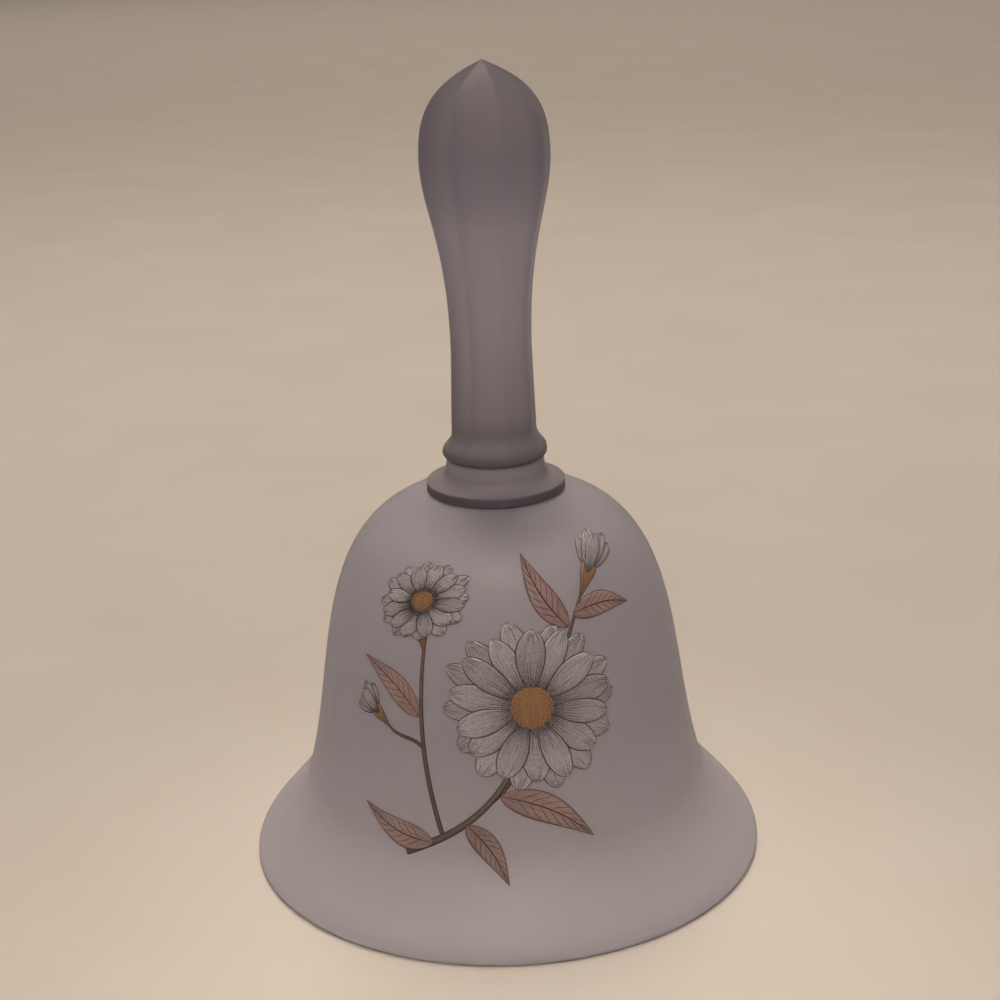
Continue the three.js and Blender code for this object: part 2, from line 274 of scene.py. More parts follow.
def smooth_mesh(shape):
    """Mesh of a closed bmesh, smooth but for its sharp edges."""
    bmesh.ops.recalc_face_normals(shape, faces=shape.faces)
    mesh = bpy.data.meshes.new("shape")
    shape.to_mesh(mesh)
    shape.free()
    mesh.shade_smooth()
    mesh.set_sharp_from_angle(angle=SHARP_ANGLE)
    return mesh


def bridge(shape, rings):
    """Faces between neighbouring rings of points, where a ring may be a single point."""
    for lower, upper in zip(rings, rings[1:]):
        count = max(len(lower), len(upper))
        for i in range(count):
            j = (i + 1) % count
            below = [lower[i % len(lower)], lower[j % len(lower)]]
            above = [upper[j % len(upper)], upper[i % len(upper)]]
            shape.faces.new(dict.fromkeys(below + above))


def lathe(outline, sides, reach=None, closed=False):
    """Mesh of an outline turned about Z. reach gives the radius in one direction."""
    shape = bmesh.new()
    rings = []
    for radius, height in outline:
        ring = []
        for i in range(sides if radius > 0 else 1):
            angle = 2 * math.pi * i / sides
            out = reach(angle, radius, height) if reach else radius
            place = Vector((out * math.cos(angle), out * math.sin(angle), height))
            ring.append(shape.verts.new(MM * place))
        rings.append(ring)
    if closed:
        rings.append(rings[0])
    bridge(shape, rings)
    return smooth_mesh(shape)


def wire_mesh(spine):
    """Mesh of a round wire along a spine: places in the XZ plane, each with the wire's radius."""
    shape = bmesh.new()
    rings = []
    last = len(spine) - 1
    for i, (place, radius) in enumerate(spine):
        heading = (spine[min(i + 1, last)][0] - spine[max(i - 1, 0)][0]).normalized()
        ring = []
        for k in range(WIRE_SIDES):
            angle = 2 * math.pi * k / WIRE_SIDES
            side = radius * math.cos(angle)
            x = place.x + side * heading.y
            z = place.y - side * heading.x
            ring.append(shape.verts.new(MM * Vector((x, radius * math.sin(angle), z))))
        rings.append(ring)
    bridge(shape, rings)
    shape.faces.new(rings[0])
    shape.faces.new(rings[-1])
    return smooth_mesh(shape)


def eased_wire(path, radius):
    """Spine of a wire of one radius whose cut ends are softened."""
    first = path[0].lerp(path[1], WIRE_EASE / (path[1] - path[0]).length)
    final = path[-1].lerp(path[-2], WIRE_EASE / (path[-2] - path[-1]).length)
    body = [(place, radius) for place in [first, *path[1:-1], final]]
    return [(path[0], radius - WIRE_EASE), *body, (path[-1], radius - WIRE_EASE)]


def straight(start, end):
    """Points along a straight stretch."""
    count = max(2, round((end - start).length / WIRE_STEP))
    return [start.lerp(end, i / count) for i in range(count + 1)]


def add_piece(name, mesh, material, body, nodes=()):
    """Puts a mesh in the scene as a piece that rides on a body and may stand for solids of the frame."""
    mesh.name = name
    piece = bpy.data.objects.new(name, mesh)
    bpy.context.scene.collection.objects.link(piece)
    mesh.materials.append(material)
    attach(piece, body)
    if nodes:
        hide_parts(*nodes)
    return piece


# Materials

MIX_FIRST, MIX_SECOND, MIX_RESULT = 6, 7, 2  # numbers of a colour mix's sockets
WHITE = (1, 1, 1, 1)


def srgb(red, green, blue):
    """Linear colour of a screen colour given in steps of 0 to 255."""
    linear = []
    for step in (red, green, blue):
        share = step / 255
        linear.append(share / 12.92 if share < 0.04045 else ((share + 0.055) / 1.055) ** 2.4)
    return (*linear, 1)


def dimmed(colour, share):
    """A colour with less light in it."""
    return (*[share * part for part in colour[:3]], 1)


def new_material(name, **constants):
    """A material, its node tree and its shader, with constant inputs given by name."""
    material = bpy.data.materials.new(name)
    material.use_nodes = True
    tree = material.node_tree
    shader = tree.nodes["Principled BSDF"]
    for key, value in constants.items():
        shader.inputs[key.replace("_", " ")].default_value = value
    return material, tree, shader


def noise(tree, size, detail, stretch=(1, 1, 1), source="Object"):
    """Noise whose features have the given size, in millimetres or, on a patch, in its own length."""
    coordinates = tree.nodes.new("ShaderNodeTexCoord")
    mapping = tree.nodes.new("ShaderNodeMapping")
    texture = tree.nodes.new("ShaderNodeTexNoise")
    unit = MM if source == "Object" else 1
    mapping.inputs["Scale"].default_value = [share / (size * unit) for share in stretch]
    texture.inputs["Scale"].default_value = 1
    texture.inputs["Detail"].default_value = detail
    tree.links.new(coordinates.outputs[source], mapping.inputs["Vector"])
    tree.links.new(mapping.outputs["Vector"], texture.inputs["Vector"])
    return texture.outputs["Fac"]


def between(tree, factor, low, high, start=0.3, end=0.7):
    """A number from low to high as the factor goes from start to end."""
    mapped = tree.nodes.new("ShaderNodeMapRange")
    for key, value in {"From Min": start, "From Max": end, "To Min": low, "To Max": high}.items():
        mapped.inputs[key].default_value = value
    tree.links.new(factor, mapped.inputs["Value"])
    return mapped.outputs["Result"]


def ramp(tree, factor, stops):
    """A colour that runs through the stops, each a place from 0 to 1 and its colour."""
    blend = tree.nodes.new("ShaderNodeValToRGB")
    elements = blend.color_ramp.elements
    while len(elements) < len(stops):
        elements.new(0.5)
    for element, (place, colour) in zip(elements, stops):
        element.position = place
        element.color = colour
    tree.links.new(factor, blend.inputs["Fac"])
    return blend.outputs["Color"]


def colour_by(tree, shader, factor, stops):
    """Colours a shader by stops along a factor."""
    tree.links.new(ramp(tree, factor, stops), shader.inputs["Base Color"])


def roughen_by(tree, shader, factor, low, high):
    """Lets a shader's roughness go from low to high along a factor."""
    tree.links.new(between(tree, factor, low, high), shader.inputs["Roughness"])


def multiplied(tree, first, second):
    """The product of two colours."""
    mix = tree.nodes.new("ShaderNodeMix")
    mix.data_type = "RGBA"
    mix.blend_type = "MULTIPLY"
    mix.inputs["Factor"].default_value = 1
    tree.links.new(first, mix.inputs[MIX_FIRST])
    tree.links.new(second, mix.inputs[MIX_SECOND])
    return mix.outputs[MIX_RESULT]


def add_bump(tree, shader, *heights):
    """Bumps on the shader's normal, each a height socket with its depth in millimetres."""
    below = None
    for height, depth in heights:
        bump = tree.nodes.new("ShaderNodeBump")
        bump.inputs["Distance"].default_value = depth * MM
        tree.links.new(height, bump.inputs["Height"])
        if below:
            tree.links.new(below, bump.inputs["Normal"])
        below = bump.outputs["Normal"]
    tree.links.new(below, shader.inputs["Normal"])


def absorb(tree, colour, density):
    """Tint that deepens with the thickness of the glass."""
    volume = tree.nodes.new("ShaderNodeVolumeAbsorption")
    volume.inputs["Color"].default_value = colour
    volume.inputs["Density"].default_value = density
    tree.links.new(volume.outputs["Volume"], tree.nodes["Material Output"].inputs["Volume"])


def satin_glass(name, skin, clearness, tint, density, etch, **constants):
    """Lavender glass with an acid-etched skin: fine grain, faint clouds and the waves of the mould."""
    material, tree, shader = new_material(name, IOR=1.5, Transmission_Weight=clearness, **constants)
    cloud = noise(tree, 16, detail=4)
    smear = noise(tree, 5, detail=5, stretch=(1, 1, 0.4))
    grain = noise(tree, 0.22, detail=2)
    wave = noise(tree, 22, detail=1)
    haze = ramp(tree, cloud, [(0.35, dimmed(skin, 0.96)), (0.65, skin)])
    frost = ramp(tree, grain, [(0.3, srgb(244, 243, 245)), (0.7, WHITE)])
    tree.links.new(multiplied(tree, haze, frost), shader.inputs["Base Color"])
    roughen_by(tree, shader, smear, etch - 0.05, etch + 0.05)
    add_bump(tree, shader, (wave, 0.12), (grain, 0.02))
    absorb(tree, tint, density)
    return material


def height_share(tree, low, high, start, end):
    """A number from low to high as the height goes from start to end, in millimetres."""
    coordinates = tree.nodes.new("ShaderNodeTexCoord")
    split = tree.nodes.new("ShaderNodeSeparateXYZ")
    tree.links.new(coordinates.outputs["Object"], split.inputs["Vector"])
    return between(tree, split.outputs["Z"], low, high, start * MM, end * MM)


def frost_by_height(material, share, start, end):
    """Makes the etched skin denser low down: only a share of the clearness is left at the start."""
    tree = material.node_tree
    clearness = tree.nodes["Principled BSDF"].inputs["Transmission Weight"]
    full = clearness.default_value
    tree.links.new(height_share(tree, share * full, full, start, end), clearness)


def paint_light_and_shade_by_height(material, stops):
    """Paints light and shade into the skin of a glass by height, with stops of a height and a colour,
    upwards.
    """
    tree = material.node_tree
    skin = tree.nodes["Principled BSDF"].inputs["Base Color"]
    start, end = stops[0][0], stops[-1][0]
    share = height_share(tree, 0, 1, start, end)
    places = [((height - start) / (end - start), colour) for height, colour in stops]
    shade = ramp(tree, share, places)
    tree.links.new(multiplied(tree, skin.links[0].from_socket, shade), skin)


def bond_film():
    """Cured clear adhesive with trapped specks, greyed as painted shade that darkens the collar above it.
    """
    material, tree, shader = new_material("bond_film", IOR=1.48, Transmission_Weight=0.8)
    speck = noise(tree, 0.6, detail=3)
    # grey of the film: its specks, and painted shade for the collar's edge above
    colour_by(tree, shader, speck, [(0.4, srgb(146, 138, 142)), (0.7, srgb(118, 110, 116))])
    roughen_by(tree, shader, speck, 0.2, 0.45)
    add_bump(tree, shader, (speck, 0.02))
    return material


def set_cement():
    """Off-white cement with a sandy grain and small pits."""
    material, tree, shader = new_material("set_cement")
    sand = noise(tree, 0.25, detail=4)
    pit = noise(tree, 0.9, detail=2)
    colour_by(tree, shader, sand, [(0.3, srgb(196, 190, 175)), (0.7, srgb(224, 219, 206))])
    roughen_by(tree, shader, pit, 0.7, 0.95)
    add_bump(tree, shader, (pit, 0.1), (sand, 0.04))
    return material


def plated_wire():
    """Bright plated wire with drawn scratches and a little dulling."""
    material, tree, shader = new_material("plated_wire", Metallic=1.0)
    dull = noise(tree, 1.6, detail=4)
    scratch = noise(tree, 0.1, detail=2, stretch=(1, 1, 0.12))
    colour_by(tree, shader, dull, [(0.35, srgb(168, 164, 158)), (0.65, srgb(214, 213, 211))])
    roughen_by(tree, shader, dull, 0.36, 0.18)
    add_bump(tree, shader, (scratch, 0.006))
    return material


def bead_glass():
    """Clear glass with a faint lavender tint and the ripples of a fire-polished skin."""
    material, tree, shader = new_material("bead_glass", IOR=1.52, Transmission_Weight=1.0)
    ripple = noise(tree, 3, detail=1)
    mark = noise(tree, 1.1, detail=5)
    colour_by(tree, shader, mark, [(0.3, srgb(238, 235, 243)), (0.7, srgb(250, 249, 252))])
    roughen_by(tree, shader, mark, 0.03, 0.12)
    add_bump(tree, shader, (ripple, 0.05))
    return material


def enamel(name, stops, streak, roughness):
    """Printed enamel: a colour that runs along each patch, with streaks and a tone of its own."""
    material, tree, shader = new_material(name)
    spot = tree.nodes.new("ShaderNodeUVMap")
    split = tree.nodes.new("ShaderNodeSeparateXYZ")
    tone = tree.nodes.new("ShaderNodeAttribute")
    tone.attribute_name = "tone"
    tree.links.new(spot.outputs["UV"], split.inputs["Vector"])
    body = ramp(tree, split.outputs["Y"], stops)
    fibre = noise(tree, streak, detail=3, stretch=(1, 0.12, 1), source="UV")
    fleck = noise(tree, 0.35, detail=2)
    shade = ramp(tree, fibre, [(0.3, srgb(214, 210, 212)), (0.7, WHITE)])
    patch_tone = ramp(tree, tone.outputs["Fac"], [(0.0, srgb(226, 222, 224)), (1.0, WHITE)])
    dust = ramp(tree, fleck, [(0.3, srgb(226, 224, 226)), (0.6, WHITE)])
    colour = multiplied(tree, body, shade)
    colour = multiplied(tree, colour, patch_tone)
    colour = multiplied(tree, colour, dust)
    tree.links.new(colour, shader.inputs["Base Color"])
    roughen_by(tree, shader, fleck, roughness, roughness + 0.14)
    add_bump(tree, shader, (fleck, 0.01))
    return material


# Bowl

def bowl_outside():
    """Outside of the bowl from the lip up to the seat: points and headings."""
    lip = Vector((RIM_RADIUS, LIP_ROUND))
    waist = Vector((WAIST_RADIUS, WAIST_HEIGHT))
    seat_edge = Vector((SEAT_RADIUS, CROWN_HEIGHT))
    up_side = Vector((-WAIST_LEAN, 1)).normalized()
    in_shoulder = Vector((-1, CROWN_RISE)).normalized()
    flare = bezier(lip, lip + Vector((0, LIP_PULL)), waist - FLARE_PULL * up_side, waist)
    shoulder = seat_edge - SHOULDER_PULL * in_shoulder
    side = bezier(waist, waist + SIDE_PULL * up_side, shoulder, seat_edge, 2 * CURVE_STEPS)
    return flare[0] + side[0][1:], flare[1] + side[1][1:]


outside, outside_headings = bowl_outside()
ceiling_height = CROWN_HEIGHT - CROWN_THICKNESS
socket_top = ceiling_height + SOCKET_DEPTH


def bowl_inside():
    """Inside of the bowl from the lip up to the flat of the ceiling."""
    wall = []
    for place, heading in zip(outside, outside_headings):
        inner = place + WALL * left_of(heading)
        if inner.y > ceiling_height - CEILING_ROUND:
            break
        wall.append(inner)
    heading = (wall[-1] - wall[-2]).normalized()
    corner = wall[-1] + heading * (ceiling_height - wall[-1].y) / heading.y
    return wall + corner_curve(wall[-1], corner, Vector((CEILING_RADIUS, ceiling_height)))[1:]


def bowl_satin():
    """The bowl's glass, clearer above than at the lip."""
    material = satin_glass(
        "bowl_glass",
        skin=srgb(248, 247, 254),
        clearness=0.8,
        tint=srgb(187, 183, 208),
        density=62,
        etch=0.55,
    )
    frost_by_height(material, share=0.8, start=0, end=40)
    return material


def make_bowl(material):
    """The bowl with its lip, its ceiling and the socket of the hanger."""
    inner_edge = Vector((RIM_RADIUS - WALL + LIP_ROUND, LIP_ROUND))
    outer_edge = Vector((RIM_RADIUS - LIP_ROUND, LIP_ROUND))
    outline = [
        Vector((0, socket_top)),
        Vector((SOCKET_RADIUS, socket_top)),
        Vector((SOCKET_RADIUS, ceiling_height)),
        *reversed(bowl_inside()),
        *arc(inner_edge, LIP_ROUND, math.pi, 1.5 * math.pi)[1:],
        *arc(outer_edge, LIP_ROUND, -0.5 * math.pi, 0)[:-1],
        *outside,
        Vector((0, CROWN_HEIGHT)),
    ]
    mesh = lathe(outline, BOWL_SIDES)
    add_piece("bowl_glass", mesh, material, "bell", ["bell_bowl"])


# Handle

collar_height = node_box("handle")[0].z
tip_height = node_box("handle")[1].z
collar_top = collar_height + COLLAR_EDGE
crease_height = collar_top + NECK_RISE
ring_height = crease_height + RING_RISE
foot_height = ring_height + FOOT_RISE
shaft_height = foot_height + SHAFT_RISE
bulb_height = shaft_height + BULB_RISE


def handle_outline():
    """Radius and height of the handle from the middle of its underside to its tip."""
    rounded = COLLAR_RADIUS - COLLAR_ROUND
    slope_edge = Vector((rounded, collar_top))
    neck_foot = Vector((NECK_RADIUS + NECK_TAPER, collar_top + COLLAR_FALL))
    neck_top = Vector((NECK_RADIUS, crease_height - CREASE_DEPTH))
    crease = Vector((NECK_RADIUS - CREASE_DEPTH, crease_height))
    collar_low = corner_curve(
        Vector((rounded, collar_height)),
        Vector((COLLAR_RADIUS, collar_height)),
        Vector((COLLAR_RADIUS, collar_height + COLLAR_ROUND)),
    )
    collar_high = corner_curve(
        Vector((COLLAR_RADIUS, collar_top - COLLAR_ROUND)),
        Vector((COLLAR_RADIUS, collar_top)),
        slope_edge,
    )
    cove = corner_curve(
        neck_foot + COVE_ROUND * (slope_edge - neck_foot).normalized(),
        neck_foot,
        neck_foot + COVE_ROUND * (neck_top - neck_foot).normalized(),
    )
    step = corner_curve(neck_top, Vector((NECK_RADIUS, crease_height)), crease)
    bulge = corner_curve(crease, Vector((RING_RADIUS, crease_height)), Vector((RING_RADIUS, ring_height)))
    grip = [
        (RING_RADIUS, ring_height, RING_PULL, FOOT_PULL),
        (FOOT_RADIUS, foot_height, FOOT_PULL, FOOT_PULL),
        (SHAFT_RADIUS, shaft_height, SHAFT_PULL, BULB_PULL),
        (BULB_RADIUS, bulb_height, 0, 0),
    ]
    outline = [Vector((0, collar_height)), *collar_low, *collar_high, *cove, *step, *bulge[1:]]
    for (radius, height, leave, arrive), (next_radius, next_height, *_) in zip(grip, grip[1:]):
        stretch, _ = bezier(
            Vector((radius, height)),
            Vector((radius, height + leave)),
            Vector((next_radius, next_height - arrive)),
            Vector((next_radius, next_height)),
        )
        outline += stretch[1:]
    tip = Vector((0, tip_height))
    tip_pull = tip + TIP_PULL * Vector((1, -TIP_SLOPE)).normalized()
    top, _ = bezier(
        Vector((BULB_RADIUS, bulb_height)), Vector((BULB_RADIUS, bulb_height + BULB_PULL)), tip_pull, tip
    )
    return outline + top[1:]


def panelled_reach(angle, radius, height):
    """Radius of the handle in one direction: round at the collar, softly eight-sided up the grip."""
    total = 0
    for k in range(PANELS):
        facing = math.cos(angle - PANEL_TURN - 2 * math.pi * k / PANELS)
        total += max(facing, 0) ** PANEL_CRISPNESS
    flat = math.cos(math.pi / PANELS) * total ** (-1 / PANEL_CRISPNESS)
    rise = min(max((height - crease_height) / PANEL_RISE, 0), 1)
    panelled = rise * rise * (3 - 2 * rise)
    return radius * (1 + (flat - 1) * panelled)


def handle_satin():
    """The handle's glass: painted shade at the collar's edge and under the ring, painted light in neck
    and flank.
    """
    material = satin_glass(
        "handle_glass",
        skin=srgb(242, 240, 250),
        clearness=0.91,
        tint=srgb(187, 182, 210),
        density=38,
        etch=0.54,
        Specular_IOR_Level=0.2,
        Specular_Tint=(0.4, 0.4, 0.42, 1),
    )
    flank_height = shaft_height + FLANK_SHARE * (bulb_height - shaft_height)
    # Painted shade and painted light by height: dark at the collar's edge and under the ring, light in
    # the neck and on the flank
    stops = [
        (collar_height, srgb(138, 133, 134)),
        (collar_top - 2 * COLLAR_ROUND, srgb(138, 133, 134)),
        (collar_top, srgb(198, 195, 195)),
        (collar_top + COLLAR_FALL, srgb(218, 216, 216)),
        (crease_height - CREASE_DEPTH, srgb(255, 254, 254)),
        (crease_height, srgb(112, 110, 111)),
        (ring_height, srgb(166, 164, 165)),
        (ring_height + RING_RISE, srgb(214, 213, 213)),
        (foot_height, srgb(197, 196, 196)),
        (shaft_height, srgb(220, 220, 220)),
        (flank_height, srgb(254, 254, 254)),
        (bulb_height, srgb(211, 211, 211)),
        (tip_height, srgb(190, 190, 190)),
    ]
    paint_light_and_shade_by_height(material, stops)
    frost_by_height(material, share=0.68, start=collar_height, end=shaft_height)
    return material


def make_handle(material):
    """The handle in one piece, from the collar to the tip."""
    mesh = lathe(handle_outline(), HANDLE_SIDES, panelled_reach)
    add_piece("handle_glass", mesh, material, "bell", ["handle"])


# Bond and hanger

def make_bond(material):
    """Film of adhesive whose edge draws in a little between the two glasses."""
    bottom = CROWN_HEIGHT + BOND_CLEARANCE
    top = collar_height - BOND_CLEARANCE
    waist = Vector((BOND_RADIUS - (top - bottom) / 2, (top + bottom) / 2))
    rim = corner_curve(Vector((BOND_RADIUS, bottom)), waist, Vector((BOND_RADIUS, top)))
    outline = [Vector((0, bottom)), *rim, Vector((0, top))]
    mesh = lathe(outline, BOWL_SIDES)
    add_piece("bond_film", mesh, material, "bell", ["handle_bond"])


def make_cement(material):
    """Plug in the ceiling's socket, domed below where it was smoothed round the shank."""
    bore = EYE_WIRE + CEMENT_CLEARANCE
    outer = SOCKET_RADIUS - CEMENT_CLEARANCE
    top = socket_top - CEMENT_CLEARANCE
    bottom = ceiling_height - CEMENT_CROWN
    dome = corner_curve(Vector((bore, bottom)), Vector((outer, bottom)), Vector((outer, ceiling_height)))
    outline = [Vector((bore, top)), *dome, Vector((outer, top))]
    mesh = lathe(outline, SMALL_SIDES, closed=True)
    add_piece("cement_plug", mesh, material, "bell", ["hanger_cement"])


def shank_start(loop, bend):
    """Distance from a wire loop's centre to where its straight shank begins."""
    return math.sqrt(loop * loop + 2 * loop * bend)


def eye_path(loop, bend, shank, radius):
    """Wire eye round the origin with its shank running down, from the shank's foot to the loop's end."""
    start = -shank_start(loop, bend)
    tail = math.asin((2 * radius + LOOP_GAP) / loop)
    ease = arc(Vector((bend, start)), bend, math.pi, math.atan2(-start, -bend))
    turn = arc(Vector((0, 0)), loop, math.atan2(start, bend), 1.5 * math.pi - tail, CURVE_STEPS)
    return straight(Vector((0, start - shank)), Vector((0, start))) + ease[1:] + turn[1:]


def make_eye(material):
    """Wire eye under the ceiling, its shank up in the cement."""
    bottom = ceiling_height - CEMENT_CROWN
    shank = socket_top - CEMENT_CLEARANCE - bottom
    height = bottom - shank_start(EYE_LOOP, EYE_BEND)
    eye = eye_path(EYE_LOOP, EYE_BEND, shank, EYE_WIRE)
    path = [Vector((-place.x, height - place.y)) for place in eye]
    mesh = wire_mesh(eased_wire(path, EYE_WIRE))
    add_piece("eye_wire", mesh, material, "bell", ["hanger_eye"])


# Chain and clapper

def make_link(number, material):
    """Oval link in the plane of its solid."""
    node = f"chain_link_{number}"
    low, high = node_box(node)
    half = (high.z - low.z) / 2 - LINK_WIRE - LINK_END
    top = Vector((0, half))
    end = Vector((LINK_END, half))
    seam = Vector((LINK_END, LINK_SEAM / 2))
    path = [
        *straight(seam, end),
        *arc(top, LINK_END, 0, math.pi, CURVE_STEPS // 2)[1:],
        *straight(Vector((-LINK_END, half)), Vector((-LINK_END, -half)))[1:],
        *arc(-top, LINK_END, math.pi, 2 * math.pi, CURVE_STEPS // 2)[1:],
        *straight(Vector((LINK_END, -half)), Vector((LINK_END, -LINK_SEAM / 2)))[1:],
    ]
    mesh = wire_mesh(eased_wire(path, LINK_WIRE))
    turned = high.y - low.y > high.x - low.x
    for vertex in mesh.vertices:
        x, y, z = vertex.co
        height = z + MM * (low.z + high.z) / 2
        vertex.co = (-y, x, height) if turned else (x, y, height)
    add_piece(f"link_wire_{number}", mesh, material, f"link_{number}", [node])


def make_pin(material):
    """Headed pin with a loop, from the head's underside up through the bead."""
    low, high = node_box("clapper_pin")
    loop_height = high.z - PIN_LOOP - PIN_WIRE
    shank = loop_height - shank_start(PIN_LOOP, PIN_BEND) - low.z - PIN_HEAD_HEIGHT
    eye = eye_path(PIN_LOOP, PIN_BEND, shank, PIN_WIRE)
    path = [place + Vector((0, loop_height)) for place in eye]
    shoulder = PIN_HEAD_RADIUS - WIRE_EASE
    head = [
        (Vector((0, low.z)), shoulder),
        (Vector((0, low.z + WIRE_EASE)), PIN_HEAD_RADIUS),
        (Vector((0, low.z + PIN_HEAD_HEIGHT - WIRE_EASE)), PIN_HEAD_RADIUS),
        (Vector((0, low.z + PIN_HEAD_HEIGHT - WIRE_EASE / 4)), shoulder),
    ]
    mesh = wire_mesh(head + eased_wire(path, PIN_WIRE)[1:])
    add_piece("pin_wire", mesh, material, "clapper", ["clapper_pin"])


def make_bead(material):
    """Drilled glass ball with softened edges at the hole."""
    low, high = node_box("clapper_bead")
    radius = (high.x - low.x) / 2
    centre = Vector((0, (low.z + high.z) / 2))
    edge = math.asin((BEAD_HOLE_RADIUS + BEAD_HOLE_EASE) / radius)
    ball = arc(centre, radius, edge - math.pi / 2, math.pi / 2 - edge, CURVE_STEPS)
    depth = Vector((0, radius - BEAD_HOLE_EASE * 2))
    hole = Vector((BEAD_HOLE_RADIUS, 0))
    outline = [*ball, centre + depth + hole, centre - depth + hole]
    mesh = lathe(outline, SMALL_SIDES, closed=True)
    add_piece("bead_ball", mesh, material, "clapper", ["clapper_bead"])


# Print

chance = random.Random(PRINT_SEED)


def lengths_along(points):
    """Length of a path from its start up to each of its points."""
    lengths = [0.0]
    for place, following in zip(points, points[1:]):
        lengths.append(lengths[-1] + (following - place).length)
    return lengths


outside_lengths = lengths_along(outside)


def on_glass(place, lift):
    """Point in space of a place on the print, lifted off the glass."""
    length = PRINT_HEIGHT + place.y
    i = min(max(bisect.bisect(outside_lengths, length) - 1, 0), len(outside) - 2)
    share = (length - outside_lengths[i]) / (outside_lengths[i + 1] - outside_lengths[i])
    heading = outside_headings[i].lerp(outside_headings[i + 1], share).normalized()
    radius, height = outside[i].lerp(outside[i + 1], share) + lift * Vector((heading.y, -heading.x))
    angle = place.x / radius
    return MM * Vector((radius * math.sin(angle), -radius * math.cos(angle), height))


class Sheet:
    """One colour of enamel: patches that follow the glass, gathered in one piece."""

    def __init__(self, name, material):
        self.name = name
        self.material = material
        self.points = []
        self.spots = []  # each point's place on its own patch, from 0 to 1 across and along
        self.tones = []
        self.faces = []

    def patch(self, rows, layer, tone=0.5):
        """Adds a grid of places, row by row."""
        first = len(self.points)
        width = len(rows[0])
        for i, row in enumerate(rows):
            for j, place in enumerate(row):
                self.points.append(on_glass(place, FIRST_LIFT + layer * LAYER))
                self.spots.append((j / (width - 1), i / (len(rows) - 1)))
                self.tones.append(tone)
        for i in range(len(rows) - 1):
            for j in range(width - 1):
                corner = first + i * width + j
                self.faces.append(self.outward([corner, corner + 1, corner + width + 1, corner + width]))

    def outward(self, corners):
        """Corners in the order that makes the face point away from the bell's axis."""
        start, across, _, along = [self.points[k] for k in corners]
        normal = (across - start).cross(along - start)
        return corners if normal.dot(Vector((start.x, start.y, 0))) > 0 else corners[::-1]

    def stroke(self, path, width, layer, least=0.3):
        """Adds a line over a layer. It thins towards both ends, to the given share of its width."""
        rows = []
        last = len(path) - 1
        for i, place in enumerate(path):
            heading = (path[min(i + 1, last)] - path[max(i - 1, 0)]).normalized()
            share = least + (1 - least) * swell(i / last, lean=1, power=0.6)
            aside = width / 2 * share * left_of(heading)
            rows.append((place - aside, place + aside))
        self.patch(rows, layer + INK_LIFT)

    def dot(self, centre, radius, layer):
        """Adds a small round spot over a layer."""
        rows = []
        for angle in DOT_ANGLES:
            along = Vector((0, -radius * math.cos(angle)))
            aside = Vector((radius * math.sin(angle), 0))
            rows.append((centre + along - aside, centre + along + aside))
        self.patch(rows, layer + INK_LIFT)

    def make(self):
        """Makes the piece of all patches, with the enamel's thickness below them."""
        mesh = bpy.data.meshes.new("sheet")
        mesh.from_pydata(self.points, [], self.faces)
        spots = mesh.uv_layers.new(name="spot")
        for loop in mesh.loops:
            spots.data[loop.index].uv = self.spots[loop.vertex_index]
        tones = mesh.attributes.new("tone", "FLOAT", "POINT")
        tones.data.foreach_set("value", self.tones)
        mesh.shade_smooth()
        piece = add_piece(self.name, mesh, self.material, "bell")
        solid = piece.modifiers.new("film", "SOLIDIFY")
        solid.thickness = FILM * MM
        solid.offset = -1


def heading_at(degrees):
    """Unit step in a direction, anticlockwise from across to the right."""
    angle = math.radians(degrees)
    return Vector((math.cos(angle), math.sin(angle)))


def grid(shape, rows, columns):
    """Places of a shape given along from 0 to 1 and across from -1 to 1."""
    places = []
    for i in range(rows + 1):
        along = END_SHARE + (1 - 2 * END_SHARE) * i / rows
        places.append([shape(along, -1 + 2 * j / columns) for j in range(columns + 1)])
    return places


def edge_path(shape, across, start, end, steps):
    """Places along a shape, all at one place across it."""
    return [shape(start + (end - start) * i / steps, across) for i in range(steps + 1)]


def draw_petal(sheets, shape, layer, tone, length):
    """One petal: its body, its outline and the fine lines that shade its base and its tip."""
    rows = max(8, round(length / PATCH_STEP))
    sheets["petals"].patch(grid(shape, rows, columns=6), layer, tone)
    ink = sheets["ink"]
    for side in (-1, 1):
        outline = edge_path(shape, side, start=0.02, end=1, steps=rows)
        ink.stroke(outline, OUTLINE, layer)
    for across in PETAL_LINES:
        reach = chance.uniform(0.22, 0.55)
        base_line = edge_path(shape, across, start=0.04, end=reach, steps=8)
        ink.stroke(base_line, HATCH, layer)
        if chance.random() < TIP_LINE_CHANCE:
            fall = chance.uniform(0.72, 0.9)
            tip_line = edge_path(shape, across * 0.85, start=fall, end=0.985, steps=5)
            ink.stroke(tip_line, HATCH, layer)


def petal_shape(place, angle, start, length, width, bend):
    """A strap-like petal that widens towards its round end. place puts it on the bloom."""
    heading = heading_at(angle)
    aside = left_of(heading)

    def at(along, across):
        half = width / 2 * swell(along, lean=1.35, power=0.55)
        notch = TIP_NOTCH * length * (1 - abs(across)) * along**6
        reach = start + length * along - notch
        return place(heading * reach + aside * (across * half + bend * along * along))

    return at


def draw_bloom(sheets, centre, radius, petals, squash, facing):
    """A daisy with two rings of petals, flattened along the direction that it faces."""
    turn = heading_at(facing)
    aside = left_of(turn)

    def place(offset):
        return centre + turn * (squash * offset.dot(turn)) + aside * offset.dot(aside)

    for ring, first_layer, share in ((0, BACK_PETAL, 1.0), (1, FRONT_PETAL, FRONT_SHARE)):
        for i in range(petals):
            angle = 360 * (i + ring / 2) / petals + chance.uniform(-3, 3)
            length = radius * (share - PETAL_START) * chance.uniform(0.93, 1.03)
            width = PETAL_WIDTH * math.pi * radius / petals * chance.uniform(0.86, 1.02)
            bend = chance.uniform(-0.05, 0.05) * radius
            shape = petal_shape(place, angle, PETAL_START * radius, length, width, bend)
            draw_petal(sheets, shape, first_layer + i % 2, chance.random(), length)
    draw_disc(sheets, place, DISC_SHARE * radius)


